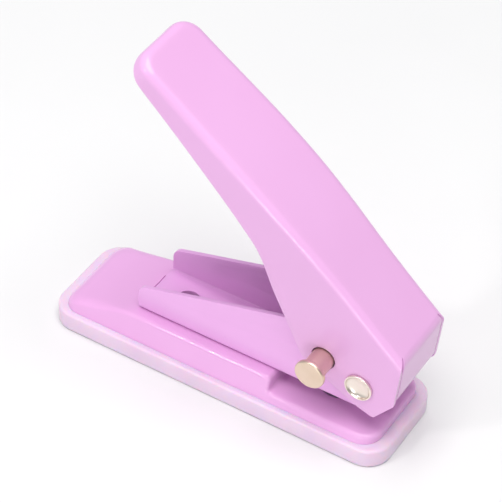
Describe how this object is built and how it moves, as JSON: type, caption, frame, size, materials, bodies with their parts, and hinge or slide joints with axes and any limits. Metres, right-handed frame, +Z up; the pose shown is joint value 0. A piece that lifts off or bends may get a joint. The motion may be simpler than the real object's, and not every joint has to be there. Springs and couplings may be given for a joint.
{
  "type": "hole punch",
  "caption": "Single-hole desk punch: sprung painted steel lever on a channel frame, push-in lock pin, paper throat and clip-on translucent chip tray.",
  "frame": {"origin": "centre of the chip tray's underside, on the surface that the punch stands on", "axes": "+X towards the throat's open end, where the paper goes in; +Y across, away from the lock pin's button; +Z up"},
  "size_m": [0.0897, 0.0298, 0.0849],
  "materials": {
    "lever_paint": "gloss",
    "base_paint": "gloss",
    "frame_paint": "gloss",
    "tray_plastic": "satin",
    "tool_steel": "ground",
    "plate_steel": "zinc plated",
    "clip_steel": "oxide black",
    "spring_steel": "drawn wire",
    "rivet_nickel": "polished nickel",
    "washer_plastic": "natural nylon",
    "lock_brass": "satin champagne plate"
  },
  "bodies": {
    "root": {"base_shell": "base_paint", "die_bush": "tool_steel", "frame": "frame_paint", "frame_rivet_rear": "frame_paint", "frame_rivet_front": "frame_paint", "guide_plate": "plate_steel", "return_spring": "spring_steel", "hinge_rivet": "rivet_nickel", "hinge_sleeve": "plate_steel", "hinge_washer_near": "washer_plastic", "hinge_washer_far": "washer_plastic"},
    "lever_body": {"lever": "lever_paint"},
    "punch_body": {"punch_pin": "tool_steel", "punch_clip": "clip_steel", "spring_washer": "plate_steel"},
    "lock_body": {"lock_pin": "lock_brass", "lock_pin_clip": "clip_steel"},
    "tray_body": {"chip_tray": "tray_plastic"}
  },
  "joints": [
    {"name": "lever_hinge", "type": "hinge", "parent": "root", "child": "lever_body", "pos_m": [0.03595, 0, 0.02045], "axis": [0, -1, 0], "range_deg": [0, 30], "stiffness_Nm_per_rad": 0.35, "springref_deg": -20.05},
    {"name": "punch_slide", "type": "slide", "parent": "root", "child": "punch_body", "axis": [0, 0, -1], "range_m": [0, 0.00512], "deforming": ["return_spring"]},
    {"name": "lock_push", "type": "slide", "parent": "lever_body", "child": "lock_body", "axis": [0, 1, 0], "range_m": [0, 0.0049]},
    {"name": "tray_snap", "type": "slide", "parent": "root", "child": "tray_body", "axis": [0, 0, -1], "range_m": [0, 0.015]}
  ],
  "couplings": [
    {"joint": "punch_slide", "follows": "lever_hinge", "m_per_rad": 0.009764}
  ]
}
